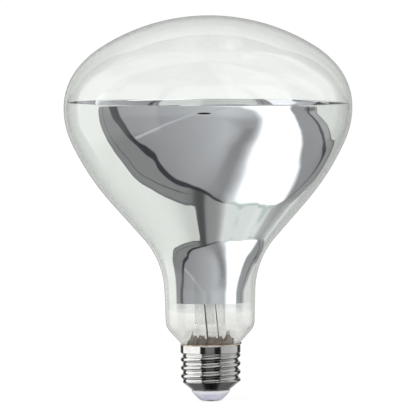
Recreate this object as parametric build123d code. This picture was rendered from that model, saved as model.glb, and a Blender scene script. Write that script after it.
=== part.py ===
from build123d import *
from math import acos, atan2, cos, radians, sin, tan
import os

# A reflector heat lamp: a domed glass bulb, silvered inside from its neck to its widest
# part, on a glass stem and a screw cap with a round thread.
# Sizes are in millimetres and angles in degrees. Z is the lamp's axis, from the face of
# the centre contact up to the crown of the bulb, and X is the right-hand side.
# A lean is the angle of an outline to the axis, positive where it widens upwards.

# Screw cap
cap_height = 24.6
cap_wall = 0.3
collar_dia = 26.12
collar_height = 3.3
thread_major_dia = 26.05
thread_depth = 0.995
thread_pitch = 25.4 / 7
thread_turns = 5
thread_core_rise = 0.04
crest_below_rim = 4.65
nose_dia = 17.2
nose_height = 5.3
nose_lean = 51.0
opening_dia = 15.8
lip_height = 4.8

# Insulator and centre contact
insulator_dia = 16.9
insulator_edge = 0.4
insulator_foot_dia = 10.4
insulator_depth = 2.6
bowl_edge = 0.15
bowl_foot_edge = 0.6
bowl_bulge = 0.12
eyelet_dia = 8.0
eyelet_wall = 0.3
eyelet_bore_dia = 2.0
eyelet_barrel = 1.3
contact_dia = 4.6
contact_face_dia = 3.4
contact_stand_off = 0.25
contact_bulge = 0.08

# Bulb glass, from its seal in the cap up to its crown
bulb_dia = 125.0
glass_wall = 1.0
seal_gap = 0.66
seal_height = 1.75
taper_below_rim = 0.25
taper_lean = 42.0
taper_length = 8.15
foot_radius = 6.8
neck_lean = 1.8
neck_length = 13.5
flare_radius = 36.0
cone_lean = 41.4
lower_radius = 109.0
waist_lean = 24.6
belly_radius = 35.6
shoulder_radius = 27.7
shoulder_lean = -38.7
crown_edge_radius = 41.0
crown_lean = -57.5

# Silvered coating
film = 0.12
mirror_foot_above_rim = 18.7
mirror_top_above_equator = 2.2

# Stem: its bell, tube and flat press
stem_wall = 0.9
tube_dia = 13.0
bell_root_radius = 1.5
bell_lean = 24.0
bell_side = 0.8
bell_radius = 2.6
bell_top_lean = -70.0
bell_fillet = 1.2
tube_length = 24.24
press_width = 14.0
press_depth = 5.0
press_height = 9.0
pinch_height = 6.5
exhaust_dia = 3.6
exhaust_wall = 0.7
exhaust_tip_height = 14.0

# Wires
centre_lead_dia = 0.65
side_lead_dia = 0.45
seal_wire_dia = 0.5
inner_lead_dia = 0.8
support_wire_dia = 0.35
lead_spacing = 6.0
lead_bend = 0.9
lead_joint = 1.0
outer_lead_straight = 6.0
inner_lead_straight = 4.0

# Where the outer leads run, as X and Y: in the stem tube at a height, and at the rim
route_above_rim = 17.6
centre_lead_high = (-2.3, -2.6)
centre_lead_low = (-1.2, -2.6)
side_lead_high = (2.3, -1.5)
side_lead_low = (3.6, -1.5)

# Arbor, filament and its hooks
arbor_dia = 3.2
arbor_height = 15.0
button_dia = 5.6
filament_ring_dia = 30.0
filament_coil_dia = 1.8
filament_rise = 9.0
filament_arc = 300.0
filament_grip = 4.0
hook_clearance = 0.05
hook_drop = 2.5
support_count = 5

# Basing cement
cement_depth = 2.9
cement_bead = 0.5
cement_top_above_rim = 2.7
cement_clearance = 0.5
cement_edge = 1.2
cement_bead_set_back = 0.06
lump_sink = 0.6

# Solder blob at the rim, out from the side lead and up from the rim
blob_dia = 1.44
blob_out = 0.45
blob_up = 0.2
blob_above_collar = 0.2

# How far a cutting form runs past what it cuts
overcut = 1.0

# Heights and radii that follow from the sizes above
collar_r = collar_dia / 2
collar_bore_r = collar_r - cap_wall
collar_foot_z = cap_height - collar_height
thread_root_r = thread_major_dia / 2 - thread_depth
seal_outer_r = collar_bore_r - seal_gap
taper_z = cap_height - taper_below_rim
seal_foot_z = taper_z - seal_height
seal_bore_r = seal_outer_r - glass_wall * cos(radians(taper_lean))
cement_foot_z = cap_height - cement_depth
cement_top_z = cap_height + cement_top_above_rim


def heading(lean):
    """Unit vector in the section plane that leans outwards from the axis."""
    return Vector(sin(radians(lean)), cos(radians(lean)))


def outline(start, lean, steps, inset=0.0):
    """Edges of a chain of tangent lines and arcs that climbs from start.

    A step is a straight length, or a pair of radius and the lean where its arc ends.
    An inset outline runs beside the first one, that much nearer to the axis.
    """
    point = Vector(*start) + Vector(-cos(radians(lean)), sin(radians(lean))) * inset
    edges = []
    for step in steps:
        if isinstance(step, tuple):
            radius, end_lean = step
            turn = lean - end_lean
            concentric = radius - inset if turn > 0 else radius + inset
            edge = JernArc(point, heading(lean), concentric, turn)
            lean = end_lean
        else:
            edge = Line(point, point + heading(lean) * step)
        edges.append(edge)
        point = edge @ 1
    return edges


def wall_between(outer, inner):
    """Section between two outlines that start and end beside each other."""
    ends = [Line(outer[-1] @ 1, inner[-1] @ 1), Line(inner[0] @ 0, outer[0] @ 0)]
    return make_face(outer + inner + ends)


def polygon(*points):
    """Section with straight edges through (radius, height) points."""
    return make_face(Polyline(*points, close=True))


def spun(section):
    """Solid of revolution of a section of radius along X and height along Y."""
    return revolve(Plane.XZ * section, Axis.Z)


def wire_along(path, diameter):
    """Round wire that follows a path."""
    start = Plane(origin=path @ 0, z_dir=path % 0)
    return sweep(start * Circle(diameter / 2), path=path)


def arc_rise(radius, lean_from, lean_to):
    """How far an arc climbs and how far it moves outwards between two leans."""
    side = 1 if lean_to < lean_from else -1
    rise = side * radius * (sin(radians(lean_from)) - sin(radians(lean_to)))
    out = side * radius * (cos(radians(lean_to)) - cos(radians(lean_from)))
    return rise, out


def bulb_steps():
    """Steps of the bulb's outline, with the cone as long as the bulb's diameter asks."""
    before = [(foot_radius, taper_lean, neck_lean), (flare_radius, neck_lean, cone_lean)]
    after = [(lower_radius, cone_lean, waist_lean), (belly_radius, waist_lean, 0.0)]
    straight = heading(taper_lean).X * taper_length + heading(neck_lean).X * neck_length
    curved = sum(arc_rise(*arc)[1] for arc in before + after)
    cone_length = (bulb_dia / 2 - seal_outer_r - straight - curved) / heading(cone_lean).X
    crown_arcs = [(shoulder_radius, 0.0, shoulder_lean)]
    crown_arcs += [(crown_edge_radius, shoulder_lean, crown_lean)]
    dome_edge_r = bulb_dia / 2 + sum(arc_rise(*arc)[1] for arc in crown_arcs)
    dome_radius = dome_edge_r / cos(radians(crown_lean))
    return [
        taper_length,
        (foot_radius, neck_lean),
        neck_length,
        (flare_radius, cone_lean),
        cone_length,
        (lower_radius, waist_lean),
        (belly_radius, 0.0),
        (shoulder_radius, shoulder_lean),
        (crown_edge_radius, crown_lean),
        (dome_radius, -90.0),
    ]


def bulb_outline(inset=0.0):
    """The bulb's outline from the seal to the crown, at a depth inside the glass."""
    return outline((seal_outer_r, taper_z), taper_lean, bulb_steps(), inset)


def equator_height():
    """Height of the bulb's widest circle, where its belly meets its shoulder."""
    return (bulb_outline()[6] @ 1).Y


def make_envelope():
    """Blown bulb, closed at the crown, with a short seal skirt inside the cap."""
    wall = wall_between(bulb_outline(), bulb_outline(glass_wall))
    skirt = polygon(
        (seal_outer_r, seal_foot_z),
        (seal_outer_r, taper_z),
        (seal_bore_r, taper_z + glass_wall * sin(radians(taper_lean))),
        (seal_bore_r, seal_foot_z),
    )
    return spun(wall + skirt)


def make_reflector_coating():
    """Silvered film on the inside of the glass, from the neck to past the equator."""
    foot_z = cap_height + mirror_foot_above_rim
    top_z = equator_height() + mirror_top_above_equator
    skin = wall_between(bulb_outline(glass_wall), bulb_outline(glass_wall + film))
    band = Pos(bulb_dia / 2, (foot_z + top_z) / 2) * Rectangle(bulb_dia, top_z - foot_z)
    return spun(skin & band)


def bell_outline(inset=0.0):
    """The stem's outline, from the seal up its bell and tube to the press."""
    skirt = taper_z + glass_wall * sin(radians(taper_lean)) - seal_foot_z
    root = (bell_root_radius, bell_lean)
    brow = (bell_radius, bell_top_lean)
    fillet = (bell_fillet, 0.0)
    bends = [(0.0, root), (bell_lean, brow), (bell_top_lean, fillet)]
    curved = sum(arc_rise(arc[0], lean, arc[1])[1] for lean, arc in bends)
    to_tube = seal_bore_r + heading(bell_lean).X * bell_side + curved - tube_dia / 2
    top_length = to_tube / -heading(bell_top_lean).X
    steps = [skirt, root, bell_side, brow, top_length, fillet, tube_length]
    return outline((seal_bore_r, seal_foot_z), 0.0, steps, inset)


def tube_top_height():
    """Height where the round stem tube ends and its pinched part begins."""
    return (bell_outline()[-1] @ 1).Y


press_foot_z = tube_top_height() + pinch_height
press_top_z = press_foot_z + press_height
button_z = press_top_z + arbor_height
filament_z = button_z + filament_rise


def make_stem_flare(wires):
    """Glass stem: an open bell and tube, pinched flat at the top around the wires."""
    tube_top_z = tube_top_height()
    tube = spun(wall_between(bell_outline(), bell_outline(stem_wall)))
    round_end = Pos(0, 0, tube_top_z) * Circle(tube_dia / 2)
    flat_end = Pos(0, 0, press_foot_z) * SlotOverall(press_width, press_depth)
    pinch = loft([round_end, flat_end])
    press = extrude(flat_end, press_height)
    hollow = polygon(
        (0, tube_top_z),
        (tube_dia / 2 - stem_wall, tube_top_z),
        (exhaust_dia / 2, tube_top_z + pinch_height / 2),
        (0, tube_top_z + pinch_height / 2),
    )
    stem = tube + pinch + press - spun(hollow)
    for wire in wires:
        stem -= wire
    return stem


def make_exhaust_tube():
    """Thin glass tube down the middle of the stem, melted shut at its lower tip."""
    radius = exhaust_dia / 2
    bore = radius - exhaust_wall
    top_z = tube_top_height() + pinch_height / 2
    tip_z = exhaust_tip_height + radius
    section = make_face(
        [
            JernArc((0, exhaust_tip_height), (1, 0), radius, 90),
            Line((radius, tip_z), (radius, top_z)),
            Line((radius, top_z), (bore, top_z)),
            Line((bore, top_z), (bore, tip_z)),
            JernArc((bore, tip_z), (0, -1), bore, -90),
            Line((0, tip_z - bore), (0, exhaust_tip_height)),
        ]
    )
    return spun(section)


def make_exhaust_form():
    """The exhaust tube's outer form without its bore, which the cement closes around."""
    tip_z = exhaust_tip_height + exhaust_dia / 2
    return Pos(0, 0, tip_z) * extrude(Circle(exhaust_dia / 2), tube_top_height() - tip_z)


def thread_ridge(inset):
    """Section of the round thread's ridge, at a depth inside the cap's wall.

    Crest and root are arcs that meet halfway up, equal ones on the outside. The root arcs
    stop at the core that the ridge stands on, and the ridge reaches into that core.
    """
    half_pitch = thread_pitch / 2
    wave_radius = (half_pitch**2 + thread_depth**2) / (4 * thread_depth)
    crest_centre = Vector(thread_major_dia / 2 - wave_radius, 0)
    root_centre = Vector(thread_root_r + wave_radius, half_pitch)
    crest_radius = wave_radius - inset
    root_radius = wave_radius + inset
    flank = atan2(half_pitch / 2, wave_radius - thread_depth / 2)
    foot = acos(1 - thread_core_rise / 2 / root_radius)

    def on_root(turn):
        return root_centre - Vector(cos(turn), sin(turn)) * root_radius

    def below(point):
        return Vector(point.X, -point.Y)

    tip = crest_centre + Vector(crest_radius, 0)
    join = crest_centre + Vector(cos(flank), sin(flank)) * crest_radius
    middle = on_root((flank + foot) / 2)
    end = on_root(foot)
    sunk = end - Vector(cap_wall, 0)
    edges = [
        ThreePointArc(below(join), tip, join),
        ThreePointArc(join, middle, end),
        Polyline(end, sunk, below(sunk), below(end)),
        ThreePointArc(below(end), below(middle), below(join)),
    ]
    return make_face(edges)


def threaded_rod(inset):
    """Rod with the helical thread along it, its crest at the right at a fixed height."""
    foot_z = cap_height - crest_below_rim - thread_turns * thread_pitch
    height = (thread_turns + 1) * thread_pitch
    place = Pos(0, 0, foot_z)
    helix = Helix(pitch=thread_pitch, height=height, radius=thread_root_r)
    ridge = sweep(place * (Plane.XZ * thread_ridge(inset)), path=place * helix, is_frenet=True)
    core_r = thread_root_r - inset + thread_core_rise
    return place * extrude(Circle(core_r), height) + ridge


def nose_r(height, inset=0.0):
    """Radius of the cap's conical nose at a height, at a depth inside its wall."""
    nose = nose_dia / 2 + (height - nose_height) * tan(radians(nose_lean))
    return nose - inset / cos(radians(nose_lean))


def nose_z(radius, inset=0.0):
    """Height where the cap's conical nose has a radius, at a depth inside its wall."""
    inner = radius - nose_dia / 2 + inset / cos(radians(nose_lean))
    return nose_height + inner / tan(radians(nose_lean))


def cap_form(nose_foot, rim_z, inset):
    """Solid inside one face of the cap's wall, on two points at the foot of its nose."""
    clear_r = thread_major_dia / 2 + cap_wall
    body = polygon(
        (0, nose_foot[0][1]),
        *nose_foot,
        (clear_r, nose_z(clear_r, inset)),
        (clear_r, collar_foot_z),
        (0, collar_foot_z),
    )
    corner_z = collar_foot_z + inset * tan(radians(22.5))
    collar = polygon(
        (0, corner_z - thread_depth),
        (collar_r - inset - thread_depth, corner_z - thread_depth),
        (collar_r - inset, corner_z),
        (collar_r - inset, rim_z),
        (0, rim_z),
    )
    return (threaded_rod(inset) & spun(body)) + spun(collar)


def make_screw_shell():
    """Rolled sheet-metal cap with a helical round thread, open at both ends."""
    opening_r = opening_dia / 2
    lip = [((opening_r + nose_dia / 2) / 2, lip_height), (nose_dia / 2, nose_height)]
    bore = [(opening_r, lip_height - overcut), (opening_r, nose_z(opening_r, cap_wall))]
    outside = cap_form(lip, cap_height, 0.0)
    return outside - cap_form(bore, cap_height + overcut, cap_wall)


def make_cap_insulator():
    """Glass plug of the cap: a bowl below its nose that fills the nose inside."""
    bore_r = eyelet_bore_dia / 2 + eyelet_wall
    foot_z = contact_stand_off + eyelet_wall
    edge_z = lip_height - insulator_edge
    top_z = nose_height + insulator_depth
    foot_r = insulator_foot_dia / 2
    edge_r = insulator_dia / 2
    throat_r = opening_dia / 2
    bowl_foot = (foot_r, foot_z + bowl_foot_edge / 2)
    bowl_middle = ((foot_r + edge_r) / 2 + bowl_bulge, (foot_z + edge_z) / 2)
    section = make_face(
        [
            Polyline((bore_r, foot_z), (foot_r - bowl_foot_edge, foot_z), bowl_foot),
            ThreePointArc(bowl_foot, bowl_middle, (edge_r, edge_z)),
            Polyline(
                (edge_r, edge_z),
                (edge_r - bowl_edge, lip_height),
                (throat_r, lip_height),
                (throat_r, nose_z(throat_r, cap_wall)),
                (nose_r(top_z, cap_wall), top_z),
                (bore_r, top_z),
                (bore_r, foot_z),
            ),
        ]
    )
    return spun(section)


def make_contact_eyelet():
    """Brass eyelet: the round contact plate with a barrel up into the insulator."""
    bore_r = eyelet_bore_dia / 2
    plate_top_z = contact_stand_off + eyelet_wall
    barrel_top_z = plate_top_z + eyelet_barrel
    section = polygon(
        (bore_r, contact_stand_off),
        (eyelet_dia / 2, contact_stand_off),
        (eyelet_dia / 2, plate_top_z),
        (bore_r + eyelet_wall, plate_top_z),
        (bore_r + eyelet_wall, barrel_top_z),
        (bore_r, barrel_top_z),
    )
    return spun(section)


def make_solder_centre(lead):
    """Solder button with a flat worn face, and its plug in the eyelet's bore."""
    face_r = contact_face_dia / 2
    edge_r = contact_dia / 2
    bore_r = eyelet_bore_dia / 2
    plug_top_z = contact_stand_off + 2 * eyelet_wall
    side_middle = ((face_r + edge_r) / 2 + contact_bulge, contact_stand_off / 3)
    section = make_face(
        [
            Line((0, 0), (face_r, 0)),
            ThreePointArc((face_r, 0), side_middle, (edge_r, contact_stand_off)),
            Polyline(
                (edge_r, contact_stand_off),
                (bore_r, contact_stand_off),
                (bore_r, plug_top_z),
                (0, plug_top_z),
                (0, 0),
            ),
        ]
    )
    return spun(section) - lead


def make_outer_lead_centre():
    """Lead from the press down the stem, through the cement, to the centre contact."""
    x = -lead_spacing / 2
    insulator_top_z = nose_height + insulator_depth
    points = [
        (x, 0, press_foot_z + lead_joint),
        (x, 0, press_foot_z - outer_lead_straight),
        (*centre_lead_high, cap_height + route_above_rim),
        (*centre_lead_low, cement_top_z),
        (*centre_lead_low, exhaust_tip_height + lead_bend),
        (0, 0, insulator_top_z + lead_bend),
        (0, 0, contact_stand_off / 2),
    ]
    return wire_along(FilletPolyline(*points, radius=lead_bend), centre_lead_dia)


def side_lead_foot():
    """Radius and height of the bend where the side lead turns up beside the collar."""
    return (seal_outer_r + collar_bore_r) / 2, (cement_foot_z + seal_foot_z) / 2


def side_lead_top_height():
    """Height of the side lead's end, just below where the bulb leaves the cap."""
    return taper_z - side_lead_dia / 4


def make_outer_lead_side():
    """Lead from the press down the stem and up between glass and collar to the rim."""
    x = lead_spacing / 2
    gap_r, under_z = side_lead_foot()
    points = [
        (x, 0, press_foot_z + lead_joint),
        (x, 0, press_foot_z - outer_lead_straight),
        (*side_lead_high, cap_height + route_above_rim),
        (*side_lead_low, cement_top_z),
        (*side_lead_low, under_z),
        (gap_r, 0, under_z),
        (gap_r, 0, side_lead_top_height()),
    ]
    path = FilletPolyline(*points, radius=[lead_bend] * 4 + [side_lead_dia])
    return wire_along(path, side_lead_dia)


def make_seal_wire(side):
    """Short wire inside the press that joins the outer lead to the inner one."""
    x = side * lead_spacing / 2
    path = Line((x, 0, press_foot_z + lead_joint), (x, 0, press_top_z - lead_joint))
    return wire_along(path, seal_wire_dia)


def hook_around_filament(start_points, azimuth, diameter):
    """Wire from below to the filament's ring at an azimuth, hooked over the coil."""
    ring_r = filament_ring_dia / 2
    reach = filament_coil_dia / 2 + diameter / 2 + hook_clearance
    outwards = Vector(cos(radians(azimuth)), sin(radians(azimuth)))
    inner_side, over_top, outer_side = 180, 60, -60

    def beside_coil(turn):
        across = outwards * (ring_r + reach * cos(radians(turn)))
        return across + Vector(0, 0, filament_z + reach * sin(radians(turn)))

    inner = beside_coil(inner_side)
    knee = inner - Vector(0, 0, hook_drop)
    bends = [lead_bend] * len(start_points)
    rise = FilletPolyline(*start_points, knee, inner, radius=bends)
    loop = ThreePointArc(inner, beside_coil(over_top), beside_coil(outer_side))
    return wire_along(Wire(rise.edges() + loop.edges()), diameter)


def filament_end_azimuth(side):
    """Azimuth near the filament's right end for 1, or its left end for -1."""
    return 90.0 - side * (filament_arc / 2 - filament_grip)


def make_inner_lead(side):
    """Stiff lead from the press up to one end of the filament."""
    x = side * lead_spacing / 2
    sealed = Vector(x, 0, press_top_z - lead_joint)
    bend = Vector(x, 0, press_top_z + inner_lead_straight)
    return hook_around_filament([sealed, bend], filament_end_azimuth(side), inner_lead_dia)


def make_glass_arbor(hooks):
    """Glass rod on the press with a button that holds the support wires."""
    rod = Pos(0, 0, press_top_z) * extrude(Circle(arbor_dia / 2), arbor_height)
    arbor = rod + Pos(0, 0, button_z) * Sphere(button_dia / 2)
    for hook in hooks:
        arbor -= hook
    return arbor


def make_support_wire(index):
    """Hook from the button to the filament, one of an even row along its arc."""
    spacing = filament_arc / (support_count + 1)
    azimuth = 90.0 - filament_arc / 2 + spacing * (index + 1)
    depth = button_dia / 4
    start = Vector(depth * cos(radians(azimuth)), depth * sin(radians(azimuth)), button_z)
    return hook_around_filament([start], azimuth, support_wire_dia)


def make_filament():
    """Outer form of the coiled filament: a horseshoe ring, open to the front."""
    section = Plane.XZ * (Pos(filament_ring_dia / 2, filament_z) * Circle(filament_coil_dia / 2))
    return Rot(0, 0, 90.0 - filament_arc / 2) * revolve(section, Axis.Z, filament_arc)


def make_solder_side(envelope, shell):
    """Solder blob on the cap's rim at the right, with the side lead's end in it."""
    gap_r = side_lead_foot()[0]
    blob = Pos(gap_r + blob_out, 0, cap_height + blob_up) * Sphere(blob_dia / 2)
    above_lead = Pos(gap_r, 0, side_lead_top_height() + blob_dia) * Box(*[2 * blob_dia] * 3)
    guard = Circle(collar_r + blob_dia) - Circle(collar_r)
    beside_collar = Pos(0, 0, collar_foot_z) * extrude(guard, collar_height + blob_above_collar)
    return (blob & above_lead) - beside_collar - envelope - shell


def make_basing_cement(cut_by):
    """Cement ring between glass and collar, and the lumpy plug below the stem's bell."""
    bead_r = collar_r - cement_bead_set_back
    bead_z = cap_height + cement_bead
    glass_r = seal_outer_r + (bead_z - taper_z) * tan(radians(taper_lean))
    bell_bore_r = seal_bore_r - stem_wall
    plug_r = bell_bore_r - cement_clearance
    section = polygon(
        (0, cement_foot_z),
        (collar_bore_r, cement_foot_z),
        (collar_bore_r, cap_height),
        (bead_r, cap_height),
        (bead_r, cap_height + cement_bead / 2),
        (glass_r, bead_z),
        (seal_outer_r, taper_z),
        (seal_outer_r, seal_foot_z),
        (bell_bore_r, seal_foot_z),
        (bell_bore_r, cap_height),
        (plug_r, cap_height + cement_edge),
        (plug_r, cement_top_z - cement_edge),
        (plug_r - cement_edge, cement_top_z),
        (0, cement_top_z),
    )
    cement = spun(section)
    # Each lump has its azimuth, its distance from the axis and its radius.
    lumps = [
        (-18, 8.3, 2.3),
        (-38, 7.2, 1.2),
        (-68, 7.4, 1.0),
        (-96, 7.9, 1.1),
        (-120, 7.2, 1.8),
        (-150, 8.4, 1.8),
        (170, 8.3, 1.8),
        (130, 7.8, 1.9),
        (88, 8.0, 1.7),
        (48, 8.2, 2.0),
        (12, 8.4, 1.8),
    ]
    for azimuth, distance, radius in lumps:
        place = Rot(0, 0, azimuth) * Pos(distance, 0, cement_top_z - lump_sink)
        cement += place * Sphere(radius)
    for other in cut_by:
        cement -= other
    return cement


def make_lamp():
    """Every piece of the lamp by name."""
    parts = {
        "envelope": make_envelope(),
        "reflector_coating": make_reflector_coating(),
        "exhaust_tube": make_exhaust_tube(),
        "outer_lead_centre": make_outer_lead_centre(),
        "outer_lead_side": make_outer_lead_side(),
        "seal_wire_left": make_seal_wire(-1),
        "seal_wire_right": make_seal_wire(1),
        "inner_lead_left": make_inner_lead(-1),
        "inner_lead_right": make_inner_lead(1),
        "filament": make_filament(),
        "screw_shell": make_screw_shell(),
        "cap_insulator": make_cap_insulator(),
        "contact_eyelet": make_contact_eyelet(),
    }
    hooks = []
    for index in range(support_count):
        hook = make_support_wire(index)
        parts[f"support_wire_{index + 1}"] = hook
        hooks.append(hook)
    outer_leads = [parts["outer_lead_centre"], parts["outer_lead_side"]]
    inner_leads = [parts["inner_lead_left"], parts["inner_lead_right"]]
    seal_wires = [parts["seal_wire_left"], parts["seal_wire_right"]]
    parts["stem_flare"] = make_stem_flare(outer_leads + inner_leads + seal_wires)
    parts["glass_arbor"] = make_glass_arbor(hooks)
    parts["solder_centre"] = make_solder_centre(parts["outer_lead_centre"])
    parts["solder_side"] = make_solder_side(parts["envelope"], parts["screw_shell"])
    held = outer_leads + [make_exhaust_form(), parts["solder_side"]]
    parts["basing_cement"] = make_basing_cement(held)
    return parts


os.makedirs("parts", exist_ok=True)
for name, solid in make_lamp().items():
    export_step(solid, f"parts/{name}.step")
    print(name, "volume", round(solid.volume, 1))
print("equator", round(equator_height(), 2), "filament", round(filament_z, 2))
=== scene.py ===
import logging
from dataclasses import dataclass
from enum import Enum
from math import atan2, ceil, cos, degrees, exp, pi, radians, sin, tan
from typing import Sequence

import bmesh
import bpy
from mathutils import Matrix, Vector, noise


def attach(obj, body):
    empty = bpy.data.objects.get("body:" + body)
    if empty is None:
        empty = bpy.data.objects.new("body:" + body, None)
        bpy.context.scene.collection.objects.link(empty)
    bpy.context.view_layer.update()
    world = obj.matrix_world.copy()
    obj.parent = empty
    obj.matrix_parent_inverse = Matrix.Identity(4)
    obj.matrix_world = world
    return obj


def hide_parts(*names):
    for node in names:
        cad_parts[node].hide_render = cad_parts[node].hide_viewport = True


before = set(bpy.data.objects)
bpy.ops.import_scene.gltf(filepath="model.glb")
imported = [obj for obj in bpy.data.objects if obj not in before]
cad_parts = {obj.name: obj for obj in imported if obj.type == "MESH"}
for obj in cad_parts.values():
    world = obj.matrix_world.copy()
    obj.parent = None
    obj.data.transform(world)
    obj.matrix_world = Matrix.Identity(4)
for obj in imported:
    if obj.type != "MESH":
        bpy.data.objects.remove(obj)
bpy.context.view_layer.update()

# The looks of a reflector heat lamp: a domed glass bulb, silvered inside up to its widest
# part, on a glass stem and a screw cap. Sizes in the classes are in millimetres and angles
# in degrees, in the part's own frame: Z is the lamp's axis, from the centre contact up to
# the crown, X is to the right and the front faces -Y. A lean is the angle of an outline
# to the axis, positive where it widens upwards.

MM = 0.001
BODY = "root"
UP = (0.0, 0.0, 1.0)
CENTRE = (0.0, 0.0, 0.0)
LOG = logging.getLogger("lamp")

Place = tuple[float, float, float]
Colour = tuple[float, float, float]
Span = tuple[float, float]
Points = tuple[Span, ...]
Inputs = dict[str | int, object]
BMesh = bmesh.types.BMesh
Object = bpy.types.Object
Material = bpy.types.Material
Node = bpy.types.Node
Socket = bpy.types.NodeSocket


class Slot(Enum):
    """Material slots of the part's record that the pieces stand for."""

    CLEAR_GLASS = "clear_glass"
    SILVERING = "silvering"
    STEM_GLASS = "stem_glass"
    FILAMENT = "filament"
    CEMENT = "cement"
    CAP_METAL = "cap_metal"
    INSULATOR = "insulator"
    CONTACT = "contact"
    SOLDER = "solder"


# ---------------------------------------------------------------- meshes


def heading(lean: float) -> Vector:
    """Direction in the plane of X and Z that leans away from the axis."""
    return Vector((sin(radians(lean)), 0.0, cos(radians(lean))))


def inward(lean: float) -> Vector:
    """Direction in the plane of X and Z at right angles to a lean, to the axis."""
    return Vector((-cos(radians(lean)), 0.0, sin(radians(lean))))


class Outline:
    """A chain of straight runs and arcs in the plane of X and Z, drawn by one vertex.

    Args:
        bm: Mesh that gets the chain's vertices and edges.
        radius: Distance of the start from the axis.
        height: Height of the start.
        lean: Lean of the first run or arc.
        inset: How much nearer to the axis the chain runs than the one it is drawn for.
    """

    def __init__(self, bm: BMesh, radius: float, height: float, lean: float, inset: float = 0.0) -> None:
        self.bm = bm
        self.lean = lean
        self.inset = inset
        self.tip = bm.verts.new(Vector((radius, 0.0, height)) + inward(lean) * inset)
        self.first = self.tip

    def step(self, way: Vector, parts: int) -> "Outline":
        """Draws a straight run.

        Args:
            way: The way from its start to its end.
            parts: Number of edges in it.

        Returns:
            The outline itself.
        """
        for _ in range(parts):
            self.tip = bmesh.ops.extrude_vert_indiv(self.bm, verts=[self.tip])["verts"][0]
            self.tip.co += way / parts
        return self

    def run(self, length: float, parts: int = 1) -> "Outline":
        """Draws a straight run of a length along the outline's lean, in some edges."""
        return self.step(heading(self.lean) * length, parts)

    def to(self, radius: float, height: float, parts: int = 1) -> "Outline":
        """Draws a straight run to a radius and a height, in some edges."""
        return self.step(Vector((radius, 0.0, height)) - self.tip.co, parts)

    def through(self, *points: Span) -> "Outline":
        """Draws one edge each to points given by radius and height."""
        for point in points:
            self.to(*point)
        return self

    def arc(self, radius: float, lean: float, step: float = 3.0) -> "Outline":
        """Draws a tangent arc.

        Args:
            radius: Radius of the arc without the outline's inset.
            lean: Lean where the arc ends.
            step: Largest turn of one edge.

        Returns:
            The outline itself.
        """
        turn = lean - self.lean
        side = 1.0 if turn < 0.0 else -1.0
        made = bmesh.ops.spin(
            self.bm,
            geom=[self.tip],
            cent=self.tip.co + inward(self.lean) * (side * (radius - side * self.inset)),
            axis=(0.0, 1.0, 0.0),
            dvec=CENTRE,
            angle=radians(turn),
            steps=max(1, ceil(abs(turn) / step)),
            use_merge=False,
            use_duplicate=False,
        )
        self.tip = [g for g in made["geom_last"] if isinstance(g, bmesh.types.BMVert)][0]
        self.lean = lean
        return self

    def turn_to(self, lean: float) -> "Outline":
        """Makes a corner, after which the outline has another lean."""
        self.lean = lean
        return self

    def meet_axis(self) -> None:
        """Puts the outline's end exactly on the axis."""
        self.tip.co.x = 0.0

    def close(self) -> None:
        """Joins the outline's end to its start."""
        self.bm.edges.new((self.tip, self.first))


def spin(bm: BMesh, steps: int, turns: int = 1, rise: float = 0.0) -> None:
    """Turns everything in a mesh round the axis.

    Args:
        bm: Mesh that holds the section in the plane of X and Z.
        steps: Number of steps in one turn.
        turns: Number of turns.
        rise: Height gained in one turn.
    """
    bmesh.ops.spin(
        bm,
        geom=bm.verts[:] + bm.edges[:],
        cent=CENTRE,
        axis=UP,
        dvec=(0.0, 0.0, rise / steps),
        angle=2 * pi * turns,
        steps=steps * turns,
        use_merge=not rise,
        use_duplicate=False,
    )


def spin_round(bm: BMesh, steps: int) -> None:
    """Turns everything in a mesh once round the axis into a closed surface, in steps."""
    spin(bm, steps)
    bmesh.ops.remove_doubles(bm, verts=bm.verts[:], dist=1e-4)
    bmesh.ops.recalc_face_normals(bm, faces=bm.faces[:])


def cut_at(bm: BMesh, height: float, keep_above: bool, lean: float = 0.0) -> None:
    """Cuts a mesh at a height and drops one side.

    Args:
        bm: Mesh to cut.
        height: Height of the cut on the axis.
        keep_above: True keeps what is above the cut, False what is below it.
        lean: How far the cut drops to the right.
    """
    bmesh.ops.bisect_plane(
        bm,
        geom=bm.verts[:] + bm.edges[:] + bm.faces[:],
        dist=1e-5,
        plane_co=(0.0, 0.0, height),
        plane_no=heading(lean),
        clear_outer=not keep_above,
        clear_inner=keep_above,
    )


def move_to_radius(vert: bmesh.types.BMVert, radius: float) -> None:
    """Moves a vertex level to a distance from the axis."""
    share = radius / vert.co.xy.length
    vert.co.x *= share
    vert.co.y *= share


def put(name: str, data: bpy.types.ID) -> Object:
    """Returns a new object with its data, placed in the scene."""
    made = bpy.data.objects.new(name, data)
    bpy.context.scene.collection.objects.link(made)
    return made


def fill(mesh: bpy.types.Mesh, bm: BMesh) -> None:
    """Writes a smooth-shaded surface into a mesh, and frees it."""
    for face in bm.faces:
        face.smooth = True
    bm.to_mesh(mesh)
    bm.free()


def make_piece(bm: BMesh, name: str, slot: Slot, *nodes: str) -> Object:
    """Makes a mesh drawn in millimetres a piece of the lamp.

    Args:
        bm: The mesh, which is freed.
        name: Name of the piece.
        slot: Material slot of the record that it stands for; not used.
        nodes: Nodes of the part that it replaces.

    Returns:
        The new object.
    """
    bmesh.ops.scale(bm, vec=(MM, MM, MM), verts=bm.verts[:])
    piece = put(name, bpy.data.meshes.new(name))
    fill(piece.data, bm)
    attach(piece, BODY)
    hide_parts(*nodes)
    LOG.info("%s: %d faces", name, len(piece.data.polygons))
    return piece


def dress(piece: Object, material: Material) -> None:
    """Gives a piece one material all over."""
    piece.data.materials.append(material)


def dress_node(name: str, material: Material) -> None:
    """Gives a node of the part a material, on its object's own slot."""
    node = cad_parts[name]
    if not node.material_slots:
        node.data.materials.append(material)
    for slot in node.material_slots:
        slot.link = "OBJECT"
        slot.material = material


# ---------------------------------------------------------------- finishes


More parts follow.
